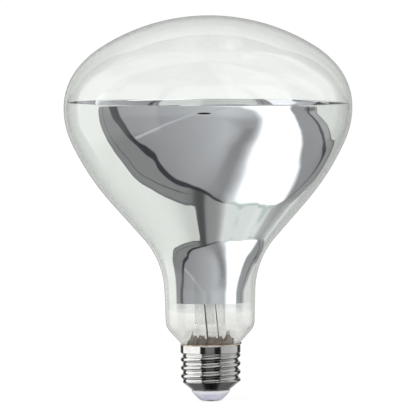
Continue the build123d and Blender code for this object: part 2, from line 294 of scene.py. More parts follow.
class Sheet:
    """A node tree with short calls for the nodes that a finish needs.

    Where a value is asked for, a number, a colour or another node's socket will do.

    Args:
        tree: The node tree of a material or of the world.
    """

    def __init__(self, tree: bpy.types.NodeTree) -> None:
        self.tree = tree

    def node(self, kind: str, inputs: Inputs | None = None, **settings: object) -> Node:
        """Adds a node.

        Args:
            kind: Blender's name of the node's type, without its prefix.
            inputs: Values of its inputs, by name or number.
            settings: Properties to set on it.

        Returns:
            The node.
        """
        made = self.tree.nodes.new(f"ShaderNode{kind}")
        for name, value in settings.items():
            setattr(made, name, value)
        self.feed(made, inputs or {})
        return made

    def feed(self, node: Node, inputs: Inputs) -> None:
        """Sets or links inputs of a node.

        Args:
            node: The node.
            inputs: Values by the inputs' names or numbers.
        """
        for name, source in inputs.items():
            target = node.inputs[name]
            if isinstance(source, Socket):
                self.tree.links.new(source, target)
            elif target.type == "RGBA":
                target.default_value = (*source, 1.0)
            else:
                target.default_value = source

    def maths(self, operation: str, *values: object) -> Socket:
        """Adds a sum.

        Args:
            operation: Blender's name of the operation.
            values: Up to three values.

        Returns:
            The result's socket.
        """
        return self.node("Math", dict(enumerate(values)), operation=operation).outputs[0]

    def times(self, *factors: object) -> Socket:
        """Returns the product of two or more values."""
        product = factors[0]
        for factor in factors[1:]:
            product = self.maths("MULTIPLY", product, factor)
        return product

    def minus(self, value: object, other: object) -> Socket:
        """Returns the difference of two values."""
        return self.maths("SUBTRACT", value, other)

    def toward(self, value: object, goal: object, share: object) -> Socket:
        """Returns a value moved towards a goal by a share of the way."""
        return self.maths("MULTIPLY_ADD", share, self.minus(goal, value), value)

    def along(self, vector: Socket, way: Sequence[float]) -> Socket:
        """Returns how far a vector reaches along a direction."""
        return self.node("VectorMath", {0: vector, 1: way}, operation="DOT_PRODUCT").outputs["Value"]

    def fade(self, value: Socket, low: float, high: float) -> Socket:
        """Returns a smooth step of a value, 0 at low and 1 at high."""
        inputs = {"Value": value, "From Min": low, "From Max": high}
        return self.node("MapRange", inputs, interpolation_type="SMOOTHSTEP").outputs["Result"]

    def rise(self, height: Socket, span: Span) -> Socket:
        """Returns a smooth step of a height in metres, between two heights in millimetres."""
        return self.fade(height, span[0] * MM, span[1] * MM)

    def line(self, off: Socket, width: float) -> Socket:
        """Returns 1 on a line and 0 off it, by the distance from its middle."""
        return self.fade(self.maths("ABSOLUTE", off), width, 0.55 * width)

    def blend(self, factor: object, first: object, second: object) -> Socket:
        """Returns a mix of two colours, by the share of the second."""
        return self.node("Mix", {0: factor, 6: first, 7: second}, data_type="RGBA").outputs[2]

    def curve(
        self,
        value: Socket,
        points: Points,
        low: float = -100.0,
        high: float = 100.0,
        reach: float = 100.0,
    ) -> Socket:
        """Returns a smooth curve of a value.

        Args:
            value: The value, from minus to plus its reach.
            points: Pairs of value and result that the curve passes through.
            low: Smallest result.
            high: Largest result.
            reach: Largest size of the value.

        Returns:
            The result's socket.
        """
        made = self.node("FloatCurve", {"Value": self.maths("MULTIPLY_ADD", value, 0.5 / reach, 0.5)})
        made.mapping.extend = "HORIZONTAL"
        drawn = made.mapping.curves[0]
        while len(drawn.points) < len(points):
            drawn.points.new(0.5, 0.5)
        for point, (place, result) in zip(drawn.points, points):
            point.location = ((place + reach) / (2 * reach), (result - low) / (high - low))
            point.handle_type = "AUTO_CLAMPED"
        made.mapping.update()
        return self.maths("MULTIPLY_ADD", made.outputs[0], high - low, low)

    def grey(self, level: object, tint: Colour = (1.0, 1.0, 1.0)) -> Socket:
        """Returns a tint at a level of brightness."""
        return self.node("VectorMath", {0: tint, "Scale": level}, operation="SCALE").outputs[0]

    def noise(self, place: Socket, scale: float, detail: float) -> Socket:
        """Returns a noise pattern from 0 to 1, by its scale and number of octaves."""
        inputs = {"Vector": place, "Scale": scale, "Detail": detail}
        return self.node("TexNoise", inputs).outputs["Fac"]


@dataclass(frozen=True)
class Finish:
    """A procedural material on the piece's own coordinates."""

    name: str

    def make(self) -> Material:
        """Returns the material, with the nodes that the finish lays in it."""
        material = bpy.data.materials.new(self.name)
        material.use_nodes = True
        sheet = Sheet(material.node_tree)
        place = sheet.node("TexCoord").outputs["Object"]
        self.lay(sheet, sheet.tree.nodes["Principled BSDF"], place)
        return material

    def lay(self, sheet: Sheet, shader: Node, place: Socket) -> None:
        """Sets the main shader and adds the nodes that vary it.

        Args:
            sheet: The material's nodes.
            shader: The main shader.
            place: The piece's own coordinates.
        """
        raise NotImplementedError

    def bump(self, sheet: Sheet, shader: Node, height: Socket, depth: float) -> None:
        """Adds a fine relief.

        Args:
            sheet: The material's nodes.
            shader: The main shader.
            height: Socket of the relief, from 0 to 1.
            depth: Depth of the relief in metres.
        """
        relief = sheet.node("Bump", {"Strength": 1.0, "Distance": depth, "Height": height})
        sheet.feed(shader, {"Normal": relief.outputs["Normal"]})


@dataclass(frozen=True)
class Glass(Finish):
    """Clear glass whose depth shows a faint tint, smoky low down and faint at its foot."""

    tint: Colour = (0.97, 0.985, 0.965)
    smoke: Colour = (0.97, 0.985, 0.965)
    smoke_fade: Span = (30.0, 46.0)
    smoke_waves: float = 4.0
    depth_tint: Colour = (0.75, 0.76, 0.71)
    density: float = 18.0
    ior: float = 1.5
    foot_fade: Span = (32.5, 34.0)
    faintness: float = 0.0

    def lay(self, sheet: Sheet, shader: Node, place: Socket) -> None:
        """Tints the glass by height and by depth."""
        height = sheet.along(place, UP)
        waves = sheet.noise(place, 90.0, 3.0)
        uneven = sheet.maths("MULTIPLY_ADD", waves, self.smoke_waves * MM, height)
        colour = sheet.blend(sheet.rise(uneven, self.smoke_fade), self.smoke, self.tint)
        inputs = {"Base Color": colour, "Roughness": 0.0, "IOR": self.ior, "Transmission Weight": 1.0}
        if self.faintness:
            full = sheet.rise(height, self.foot_fade)
            inputs["Alpha"] = sheet.maths("MULTIPLY_ADD", full, self.faintness, 1.0 - self.faintness)
        sheet.feed(shader, inputs)
        depth = sheet.node("VolumeAbsorption", {"Color": self.depth_tint, "Density": self.density})
        sheet.feed(sheet.tree.nodes["Material Output"], {"Volume": depth.outputs[0]})


@dataclass(frozen=True)
class Silvering(Finish):
    """Mirror-bright evaporated metal that thins out to a haze at its lower edge."""

    colour: Colour = (0.86, 0.865, 0.875)
    roughness: float = 0.02
    haze_fade: Span = (38.8, 40.0)
    haze: float = 0.15
    film_fade: Span = (43.15, 43.3)
    dull_fade: Span = (66.0, 52.0)
    dullness: float = 0.10
    ripple: float = 0.00006

    def lay(self, sheet: Sheet, shader: Node, place: Socket) -> None:
        """Fades the film in over its haze, and dulls it in the neck."""
        height = sheet.along(place, UP)
        dull, full = sheet.rise(height, self.dull_fade), sheet.rise(height, self.film_fade)
        faint = sheet.times(sheet.rise(height, self.haze_fade), self.haze)
        sheet.feed(
            shader,
            {
                "Base Color": self.colour,
                "Metallic": 1.0,
                "Roughness": sheet.maths("MULTIPLY_ADD", dull, self.dullness, self.roughness),
                "Alpha": sheet.maths("MAXIMUM", full, faint),
            },
        )
        self.bump(sheet, shader, sheet.noise(place, 45.0, 1.5), self.ripple)


@dataclass(frozen=True)
class Metal(Finish):
    """Bare or plated metal with uneven tone, faint stains and a fine grain."""

    light: Colour
    dark: Colour
    roughness: float = 0.3
    spread: float = 0.1
    scale: float = 300.0
    grain: float = 0.00001
    stain: float = 0.5
    stain_fade: Span = (0.42, 0.72)

    def lay(self, sheet: Sheet, shader: Node, place: Socket) -> None:
        """Varies the tone and the gloss in patches, and adds the grain."""
        patches = sheet.noise(place, self.scale, 4.0)
        share = sheet.times(sheet.fade(patches, *self.stain_fade), self.stain)
        smooth = self.roughness - self.spread / 2
        sheet.feed(
            shader,
            {
                "Base Color": sheet.blend(share, self.light, self.dark),
                "Metallic": 1.0,
                "Roughness": sheet.maths("MULTIPLY_ADD", patches, self.spread, smooth),
            },
        )
        self.bump(sheet, shader, sheet.noise(place, self.scale * 6, 2.0), self.grain)


@dataclass(frozen=True)
class Baked(Finish):
    """Rough baked cement, brown and grey with pale crumbs."""

    brown: Colour = (0.42, 0.345, 0.27)
    grey: Colour = (0.66, 0.58, 0.49)
    pale: Colour = (0.88, 0.81, 0.71)
    grain: float = 0.0002
    grain_scale: float = 2200.0
    patch_scale: float = 500.0
    patch_fade: Span = (0.38, 0.62)
    crumb_scale: float = 1600.0
    crumb_fade: Span = (0.62, 0.72)
    roughness: float = 0.9

    def lay(self, sheet: Sheet, shader: Node, place: Socket) -> None:
        """Mixes the tones and roughens the surface."""
        wide = sheet.fade(sheet.noise(place, self.patch_scale, 4.0), *self.patch_fade)
        crumbs = sheet.fade(sheet.noise(place, self.crumb_scale, 3.0), *self.crumb_fade)
        tone = sheet.blend(crumbs, sheet.blend(wide, self.brown, self.grey), self.pale)
        sheet.feed(shader, {"Base Color": tone, "Roughness": self.roughness, "Specular IOR Level": 0.25})
        self.bump(sheet, shader, sheet.noise(place, self.grain_scale, 5.0), self.grain)


@dataclass(frozen=True)
class Opal(Finish):
    """Pale lavender glass of the cap's insulator, smooth with faint swirls."""

    colour: Colour = (0.65, 0.65, 0.76)
    cloud: Colour = (0.76, 0.76, 0.84)
    edge: Colour = (0.86, 0.86, 0.90)
    edge_fade: Span = (3.1, 3.9)
    swirl_scale: float = 260.0
    swirl_fade: Span = (0.35, 0.7)
    roughness: float = 0.12
    glow: float = 0.3
    glow_reach: Place = (0.002, 0.002, 0.0025)
    coat: float = 0.3
    ripple: float = 0.00002
    ripple_scale: float = 900.0

    def lay(self, sheet: Sheet, shader: Node, place: Socket) -> None:
        """Mixes the swirls and the paler edge."""
        swirl = sheet.fade(sheet.noise(place, self.swirl_scale, 3.0), *self.swirl_fade)
        upper = sheet.rise(sheet.along(place, UP), self.edge_fade)
        tone = sheet.blend(upper, sheet.blend(swirl, self.colour, self.cloud), self.edge)
        sheet.feed(
            shader,
            {
                "Base Color": tone,
                "Roughness": self.roughness,
                "Subsurface Weight": self.glow,
                "Subsurface Radius": self.glow_reach,
                "Coat Weight": self.coat,
            },
        )
        self.bump(sheet, shader, sheet.noise(place, self.ripple_scale, 2.0), self.ripple)


@dataclass(frozen=True)
class Paper(Finish):
    """Plain pale floor that looks like the white surroundings and keeps a soft shadow."""

    light: Colour = (0.96, 0.96, 0.96)
    dark: Colour = (0.9504, 0.9504, 0.9504)
    fibre_scale: float = 900.0
    fibre_fade: Span = (0.3, 0.7)
    roughness: float = 0.95
    glow: float = 0.62
    whiteness: float = 1.17

    def lay(self, sheet: Sheet, shader: Node, place: Socket) -> None:
        """Lights the paper a little from within, to the camera alone."""
        fibre = sheet.fade(sheet.noise(place, self.fibre_scale, 2.0), *self.fibre_fade)
        tone = sheet.blend(fibre, self.light, self.dark)
        sheet.feed(shader, {"Base Color": tone, "Roughness": self.roughness, "Specular IOR Level": 0.0})
        seen = sheet.node("LightPath").outputs["Is Camera Ray"]
        white = sheet.node("Emission", {"Strength": self.whiteness})
        inputs = {0: sheet.times(seen, self.glow), 1: shader.outputs[0], 2: white.outputs[0]}
        mixed = sheet.node("MixShader", inputs)
        sheet.feed(sheet.tree.nodes["Material Output"], {"Surface": mixed.outputs[0]})


# ---------------------------------------------------------------- the lamp


@dataclass
class Bulb:
    """The blown glass and the silvered film inside it."""

    seal_radius: float = 12.1
    seal_foot: float = 22.6
    taper_height: float = 24.35
    taper_lean: float = 42.0
    taper: float = 8.15
    taper_arc: float = 6.8
    neck_lean: float = 1.8
    neck: float = 13.5
    waist_arc: float = 36.0
    cone_lean: float = 41.4
    belly_arc: float = 109.0
    belly_lean: float = 24.6
    side_arc: float = 35.6
    widest: float = 62.5
    shoulder_arc: float = 27.7
    shoulder_lean: float = -38.7
    crown_arc: float = 41.0
    crown_lean: float = -57.5
    wall: float = 1.0
    film: float = 0.1
    film_gap: float = 0.03
    mirror_foot: float = 38.8
    mirror_top: float = 129.64
    mirror_lean: float = 0.6
    steps: int = 192

    def climb(self, line: Outline, last: bool = True) -> Outline:
        """Draws the bulb's outline from where it leaves the cap.

        Args:
            line: Outline that stands at the foot of the taper with its lean.
            last: True goes on over the crown to the axis.

        Returns:
            The outline.
        """
        line.run(self.taper, 4).arc(self.taper_arc, self.neck_lean, 4.0).run(self.neck, 6)
        line.arc(self.waist_arc, self.cone_lean, 1.5).run(self.cone, 8)
        line.arc(self.belly_arc, self.belly_lean, 0.8).arc(self.side_arc, 0.0, 1.5)
        line.arc(self.shoulder_arc, self.shoulder_lean, 2.0)
        if last:
            line.arc(self.crown_arc, self.crown_lean, 2.0).arc(self.dome, -90.0, 1.5)
        return line

    @property
    def cone(self) -> float:
        """Length of the straight part below the belly."""
        widths = sin(radians(self.taper_lean)) * self.taper + sin(radians(self.neck_lean)) * self.neck
        for radius, low, high in (
            (self.taper_arc, self.neck_lean, self.taper_lean),
            (self.waist_arc, self.neck_lean, self.cone_lean),
            (self.belly_arc, self.belly_lean, self.cone_lean),
            (self.side_arc, 0.0, self.belly_lean),
        ):
            widths += radius * (cos(radians(low)) - cos(radians(high)))
        return (self.widest - self.seal_radius - widths) / sin(radians(self.cone_lean))

    @property
    def dome(self) -> float:
        """Radius of the crown's dome."""
        shoulder, crown = cos(radians(self.shoulder_lean)), cos(radians(self.crown_lean))
        edge = self.widest - self.shoulder_arc * (1.0 - shoulder) - self.crown_arc * (shoulder - crown)
        return edge / crown

    def make_envelope(self) -> Object:
        """Returns the glass, with its outer and inner surface and its seal."""
        bm = bmesh.new()
        outer = Outline(bm, self.seal_radius, self.seal_foot, 0.0)
        outer.to(self.seal_radius, self.taper_height, 2).turn_to(self.taper_lean)
        self.climb(outer).meet_axis()
        inner = Outline(bm, self.seal_radius, self.taper_height, self.taper_lean, self.wall)
        foot = bmesh.ops.extrude_vert_indiv(bm, verts=[inner.first])["verts"][0]
        bore = self.seal_radius - self.wall * cos(radians(self.taper_lean))
        foot.co = Vector((bore, 0.0, self.seal_foot))
        bm.edges.new((foot, outer.first))
        self.climb(inner).meet_axis()
        spin_round(bm, self.steps)
        return make_piece(bm, "glass_envelope", Slot.CLEAR_GLASS, "envelope")

    def make_mirror(self) -> Object:
        """Returns the silvered film, a thin skin just inside the glass."""
        bm = bmesh.new()
        depth = self.wall + self.film_gap
        self.climb(Outline(bm, self.seal_radius, self.taper_height, self.taper_lean, depth), last=False)
        spin_round(bm, self.steps)
        cut_at(bm, self.mirror_foot, True)
        cut_at(bm, self.mirror_top, False, self.mirror_lean)
        bmesh.ops.recalc_face_normals(bm, faces=bm.faces[:])
        bmesh.ops.solidify(bm, geom=bm.faces[:], thickness=self.film)
        return make_piece(bm, "silvered_mirror", Slot.SILVERING, "reflector_coating")


@dataclass
class Stem:
    """Glass bell, tube, flat press, exhaust tube and arbor inside the bulb."""

    bore: float = 11.357
    foot: float = 22.6
    skirt: float = 2.419
    flare_arc: float = 1.5
    flare_lean: float = 24.0
    flare: float = 0.8
    bell_arc: float = 2.6
    shoulder_lean: float = -70.0
    tube_arc: float = 1.2
    wall: float = 0.9
    tube_radius: float = 6.5
    tube: float = 24.24
    pinch: float = 6.5
    press: float = 9.0
    press_width: float = 14.0
    press_depth: float = 5.0
    press_edge: float = 0.8
    exhaust_radius: float = 1.8
    exhaust_bore: float = 1.1
    exhaust_foot: float = 15.8
    exhaust_gap: float = 0.05
    arbor_radius: float = 1.6
    arbor: float = 15.0
    arbor_gap: float = 0.02
    arbor_flare: float = 0.5
    arbor_arc: float = 1.2
    button: float = 2.8
    button_foot: float = 0.2

    def climb(self, line: Outline) -> Outline:
        """Draws the stem's outline from its foot to the top of its tube."""
        line.run(self.skirt, 2).arc(self.flare_arc, self.flare_lean, 6.0).run(self.flare, 1)
        line.arc(self.bell_arc, self.shoulder_lean, 6.0).run(self.shoulder, 3)
        return line.arc(self.tube_arc, 0.0, 6.0).run(self.tube, 8)

    @property
    def shoulder(self) -> float:
        """Length of the bell's nearly flat top."""
        flare, shoulder = cos(radians(self.flare_lean)), cos(radians(self.shoulder_lean))
        reach = self.bore - self.tube_radius + self.flare * sin(radians(self.flare_lean))
        reach += self.flare_arc * (1.0 - flare) + self.bell_arc * (shoulder - flare)
        reach -= self.tube_arc * (1.0 - shoulder)
        return -reach / sin(radians(self.shoulder_lean))

    @property
    def tube_top(self) -> float:
        """Height where the round tube ends."""
        bm = bmesh.new()
        top = self.climb(Outline(bm, self.bore, self.foot, 0.0)).tip.co.z
        bm.free()
        return top

    @property
    def inner_top(self) -> float:
        """Height where the stem's hollow ends."""
        return self.tube_top + self.pinch / 2

    @property
    def press_top(self) -> float:
        """Height of the flat press's upper end."""
        return self.tube_top + self.pinch + self.press

    def make_stem(self) -> Object:
        """Returns the stem, open below, with its tube pinched flat into the press."""
        bm = bmesh.new()
        outer = self.climb(Outline(bm, self.bore, self.foot, 0.0))
        outer.to(self.tube_radius, self.press_top - self.press, 8)
        outer.to(self.tube_radius, self.press_top - self.press_edge, 8)
        outer.arc(self.press_edge, -90.0, 15.0).to(0.0, self.press_top, 4)
        inner = self.climb(Outline(bm, self.bore, self.foot, 0.0, self.wall))
        inner.to(self.exhaust_radius, self.inner_top, 6).to(0.0, self.inner_top, 2)
        bm.edges.new((outer.first, inner.first))
        spin_round(bm, 96)
        start = self.tube_top
        for vert in bm.verts:
            rise = min(1.0, max(0.0, (vert.co.z - start) / self.pinch))
            rise = rise * rise * (3.0 - 2.0 * rise)
            vert.co.x *= 1.0 + rise * (self.press_width / 2 / self.tube_radius - 1.0)
            vert.co.y *= 1.0 + rise * (self.press_depth / 2 / self.tube_radius - 1.0)
        return make_piece(bm, "glass_stem", Slot.STEM_GLASS, "stem_flare")

    def make_exhaust(self) -> Object:
        """Returns the exhaust tube down the middle of the stem."""
        bm = bmesh.new()
        top = self.inner_top - self.exhaust_gap
        line = Outline(bm, self.exhaust_radius, self.exhaust_foot, 0.0)
        line.to(self.exhaust_radius, top, 12).to(self.exhaust_bore, top)
        line.to(self.exhaust_bore, self.exhaust_foot, 12)
        line.turn_to(180.0).arc(self.exhaust_bore, 270.0, 15.0).meet_axis()
        tip = Outline(bm, self.exhaust_radius, self.exhaust_foot, 180.0)
        tip.arc(self.exhaust_radius, 270.0, 15.0).meet_axis()
        spin_round(bm, 32)
        return make_piece(bm, "exhaust_tube_glass", Slot.STEM_GLASS, "exhaust_tube")

    def make_arbor(self) -> Object:
        """Returns the glass rod with its button, in one melted piece."""
        bm = bmesh.new()
        foot, centre = self.press_top + self.arbor_gap, self.press_top + self.arbor
        line = Outline(bm, 0.0, foot, 90.0)
        line.to(self.arbor_radius + self.arbor_flare, foot, 2)
        line.turn_to(-45.0).arc(self.arbor_arc, 0.0, 10.0)
        line.to(self.arbor_radius, centre - self.button - self.button_foot, 8)
        line.turn_to(20.0).arc(self.arbor_arc, 60.0, 10.0).arc(self.button, -90.0, 8.0).meet_axis()
        spin_round(bm, 48)
        return make_piece(bm, "glass_arbor_rod", Slot.STEM_GLASS, "glass_arbor")


@dataclass
class Filament:
    """The coiled filament, bent to an open ring in front."""

    ring_radius: float = 15.0
    height: float = 95.84
    coil_radius: float = 0.78
    wire_radius: float = 0.11
    wire_sides: int = 6
    arc: float = 300.0
    turns: int = 150
    steps: int = 10

    def make_coil(self) -> Object:
        """Returns the coil, spun along a straight line and then bent round the ring."""
        bm = bmesh.new()
        circle = bmesh.ops.create_circle(bm, segments=self.wire_sides, radius=self.wire_radius, cap_ends=False)
        quarter = Matrix.Rotation(pi / 2, 3, "X")
        bmesh.ops.rotate(bm, cent=CENTRE, matrix=quarter, verts=circle["verts"])
        bmesh.ops.translate(bm, vec=(self.coil_radius, 0.0, 0.0), verts=circle["verts"])
        spin(bm, self.steps, self.turns, radians(self.arc) * self.ring_radius / self.turns)
        ends = [edge for edge in bm.edges if edge.is_boundary]
        bmesh.ops.holes_fill(bm, edges=ends, sides=self.wire_sides)
        start = radians(90.0 - self.arc / 2)
        for vert in bm.verts:
            turn = start + vert.co.z / self.ring_radius
            out = self.ring_radius + vert.co.x
            vert.co = Vector((out * cos(turn), out * sin(turn), self.height + vert.co.y))
        bmesh.ops.recalc_face_normals(bm, faces=bm.faces[:])
        return make_piece(bm, "filament_coil", Slot.FILAMENT, "filament")


@dataclass
class ScrewCap:
    """Rolled metal shell with its round thread, insulator, contact and solder."""

    rim: float = 24.6
    wall: float = 0.3
    collar_radius: float = 13.06
    collar_foot: float = 21.3
    collar_rings: Points = (
        (0.9, 0.0), (1.6, 0.0), (2.2, 0.0), (2.8, 0.0), (3.05, 0.03), (3.2, 0.09), (3.3, 0.2),
    )  # fmt: skip
    thread_end: float = 0.4
    run_out: float = 1.2
    crest_radius: float = 13.025
    depth: float = 0.995
    pitch: float = 25.4 / 7
    crest_below_rim: float = 4.65
    turns: int = 6
    nose_radius: float = 8.6
    nose_height: float = 5.3
    nose_lean: float = 51.0
    lip_slope: float = 0.75
    lip_height: float = 4.8
    steps: int = 144
    bore: float = 1.3
    bowl_foot: float = 0.55
    bowl_flat: float = 3.9
    bowl_low: Span = (5.25, 0.95)
    bowl_high: Span = (8.45, 4.4)
    bowl_bulge: Span = (0.0876, -0.0816)
    bowl_shares: tuple[float, ...] = (0.12, 0.3, 0.5, 0.7, 0.88, 1.0)
    bowl_edge: Points = ((8.42, 4.55), (8.25, 4.75), (7.9, 4.8), (7.9, 5.1), (9.9, 7.4), (9.9, 7.9))
    plate_foot: float = 0.26
    plate_flat: float = 3.2
    plate_rim: float = 0.6
    plate_edge: float = 0.14
    barrel_bore: float = 1.05
    barrel_top: float = 1.8
    button_flat: float = 1.5
    button_edge: Points = ((1.75, 0.015), (1.95, 0.06), (2.13, 0.13), (2.27, 0.22), (2.28, 0.249))
    button_stub: float = 1.0

    def make_shell(self) -> Object:
        """Returns the metal shell, screwed from one wave of its thread."""
        bm = bmesh.new()
        wave = ((self.pitch / 2) ** 2 + self.depth**2) / (4 * self.depth)
        flank = degrees(atan2(self.pitch / 4, wave - self.depth / 2))
        foot = self.rim - self.crest_below_rim - (self.turns - 1) * self.pitch - self.pitch / 2
        line = Outline(bm, self.crest_radius - self.depth, foot, 0.0)
        line.arc(wave, flank, 6.0).arc(wave, -flank, 6.0).arc(wave, 0.0, 6.0)
        spin(bm, self.steps, self.turns, self.pitch)
        bmesh.ops.remove_doubles(bm, verts=bm.verts[:], dist=1e-3)
        for vert in bm.verts:
            self.draw_in(vert)
        self.add_collar(bm)
        cut_at(bm, self.lip_height, True)
        bmesh.ops.recalc_face_normals(bm, faces=bm.faces[:])
        bmesh.ops.solidify(bm, geom=bm.faces[:], thickness=self.wall)
        return make_piece(bm, "threaded_shell", Slot.CAP_METAL, "screw_shell")

    def draw_in(self, vert: bmesh.types.BMVert) -> None:
        """Moves a vertex of the endless thread onto the collar or the nose."""
        z, radius = vert.co.z, vert.co.xy.length
        if z > self.collar_foot:
            radius = self.collar_radius
        elif z > self.collar_foot - self.run_out:
            radius = max(radius, self.collar_radius - (self.collar_foot - z))
        slope = tan(radians(self.nose_lean)) if z >= self.nose_height else self.lip_slope
        move_to_radius(vert, min(radius, self.nose_radius + (z - self.nose_height) * slope))

    def add_collar(self, bm: BMesh) -> None:
        """Cuts the thread's top and puts the plain collar with its rolled edge on it."""
        top = self.collar_foot + self.thread_end
        cut_at(bm, top, False)
        ring = [e for e in bm.edges if e.is_boundary and all(v.co.z > top - 0.01 for v in e.verts)]
        for level, inset in self.collar_rings:
            made = bmesh.ops.extrude_edge_only(bm, edges=ring)["geom"]
            verts = [g for g in made if isinstance(g, bmesh.types.BMVert)]
            edges = [g for g in made if isinstance(g, bmesh.types.BMEdge) and g.is_boundary]
            for vert in verts:
                vert.co.z = self.collar_foot + level
                move_to_radius(vert, self.collar_radius - inset)
            ring = [e for e in edges if all(v in verts for v in e.verts)]

    def make_insulator(self) -> Object:
        """Returns the opal bowl below the nose and the plug inside it."""
        bm = bmesh.new()
        line = Outline(bm, self.bore, self.bowl_foot, 90.0)
        line.to(self.bowl_flat, self.bowl_foot, 3).to(4.6, 0.56).turn_to(80.0).arc(1.0, 55.0, 8.0)
        line.through(*(self.bowl(share) for share in self.bowl_shares), *self.bowl_edge)
        line.to(self.bore, self.bowl_edge[-1][1], 3).close()
        spin_round(bm, 96)
        return make_piece(bm, "opal_insulator", Slot.INSULATOR, "cap_insulator")

    def bowl(self, share: float) -> Span:
        """Returns radius and height on the insulator's bowl, by the share of the way up."""
        radius, height = (
            low + (high - low) * share + bulge * sin(pi * share)
            for low, high, bulge in zip(self.bowl_low, self.bowl_high, self.bowl_bulge)
        )
        return radius, height

    def make_contact(self) -> Object:
        """Returns the eyelet's plate with a rolled edge and its barrel."""
        bm = bmesh.new()
        line = Outline(bm, self.barrel_bore, self.plate_foot, 90.0)
        line.to(self.plate_flat, self.plate_foot + 0.01, 3).turn_to(90.0).run(self.plate_rim, 2)
        line.arc(self.plate_edge, -90.0, 30.0).to(self.bore, self.plate_foot + 2 * self.plate_edge, 3)
        line.to(self.bore, self.barrel_top, 2).to(self.barrel_bore, self.barrel_top).close()
        spin_round(bm, 64)
        return make_piece(bm, "contact_plate", Slot.CONTACT, "contact_eyelet")

    def make_solder(self) -> Object:
        """Returns the worn solder button on the contact."""
        bm = bmesh.new()
        line = Outline(bm, 0.0, 0.0, 90.0)
        line.to(self.button_flat, 0.0, 4).through(*self.button_edge)
        line.to(self.button_stub, 0.25, 2).to(self.button_stub, 0.8).to(0.0, 0.85, 2)
        spin_round(bm, 64)
        return make_piece(bm, "solder_button", Slot.SOLDER, "solder_centre")


@dataclass
class Cement:
    """Baked cement between glass and collar, roughened from the part's own solid."""

    grain: float = 0.2
    rim: float = 24.9
    unevenness: float = 1.1
    wide_scale: float = 0.55
    level: float = 3.0
    relief: float = 0.3
    relief_scales: Span = (1.3, 3.1)
    sunk_back: float = 0.62
    back_start: float = -1.5
    back_reach: float = 4.0
    gap_depth: float = 1.3
    gap_width: float = 0.6
    gaps: tuple[float, ...] = (-5.4, -1.9, 5.9)
    ceiling: float = 29.8
    lump_height: float = 0.9
    lump_radius: float = 1.8
    lumps: Points = ((-6.9, -4.0), (-3.2, -7.2))
    peak_height: float = 1.8
    peak_radius: float = 0.42
    peaks: Points = ((-6.6, -4.6), (-3.5, -7.2), (-2.6, -7.6), (4.9, -6.8))

    def make(self) -> Object:
        """Returns the cement with its lumps broken up."""
        bm = bmesh.new()
        bm.from_mesh(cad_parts["basing_cement"].data)
        bmesh.ops.scale(bm, vec=(1 / MM, 1 / MM, 1 / MM), verts=bm.verts[:])
        bmesh.ops.remove_doubles(bm, verts=bm.verts[:], dist=1e-3)
        piece = make_piece(bm, "baked_cement", Slot.CEMENT, "basing_cement")
        grains = piece.modifiers.new("grains", "REMESH")
        grains.mode = "VOXEL"
        grains.voxel_size = self.grain * MM
        bpy.context.view_layer.update()
        ready = piece.evaluated_get(bpy.context.evaluated_depsgraph_get())
        fine = bmesh.new()
        fine.from_mesh(ready.to_mesh())
        ready.to_mesh_clear()
        piece.modifiers.clear()
        for vert in fine.verts:
            self.roughen(vert)
        fill(piece.data, fine)
        LOG.info("%s: %d faces after roughening", piece.name, len(piece.data.polygons))
        return piece

    def roughen(self, vert: bmesh.types.BMVert) -> None:
        """Moves a vertex above the cap's rim by hollows, lumps, grains and thin peaks."""
        place = vert.co / MM
        above = place.z - self.rim
        if above <= 0.0:
            return
        share = min(1.0, above)
        flat = Vector((place.x, place.y, self.level))
        back = min(1.0, max(0.0, (place.y - self.back_start) / self.back_reach))
        rise = above * (self.unevenness * noise.noise(flat * self.wide_scale) - self.sunk_back * back)
        rise += share * self.relief * sum(noise.noise(place * scale) for scale in self.relief_scales)
        for height, radius, spots in (
            (self.lump_height, self.lump_radius, self.lumps),
            (self.peak_height, self.peak_radius, self.peaks),
        ):
            for x, y in spots:
                off = (Vector((x, y, self.level)) - flat).length_squared / radius**2
                rise += share * height * exp(-off)
        for gap in self.gaps:
            rise -= share * self.gap_depth * exp(-(((place.x - gap) / self.gap_width) ** 2))
        low, top = min(place.z, self.rim), max(place.z, self.ceiling)
        vert.co = Vector((place.x, place.y, max(low, min(top, place.z + rise)))) * MM


# ---------------------------------------------------------------- the studio


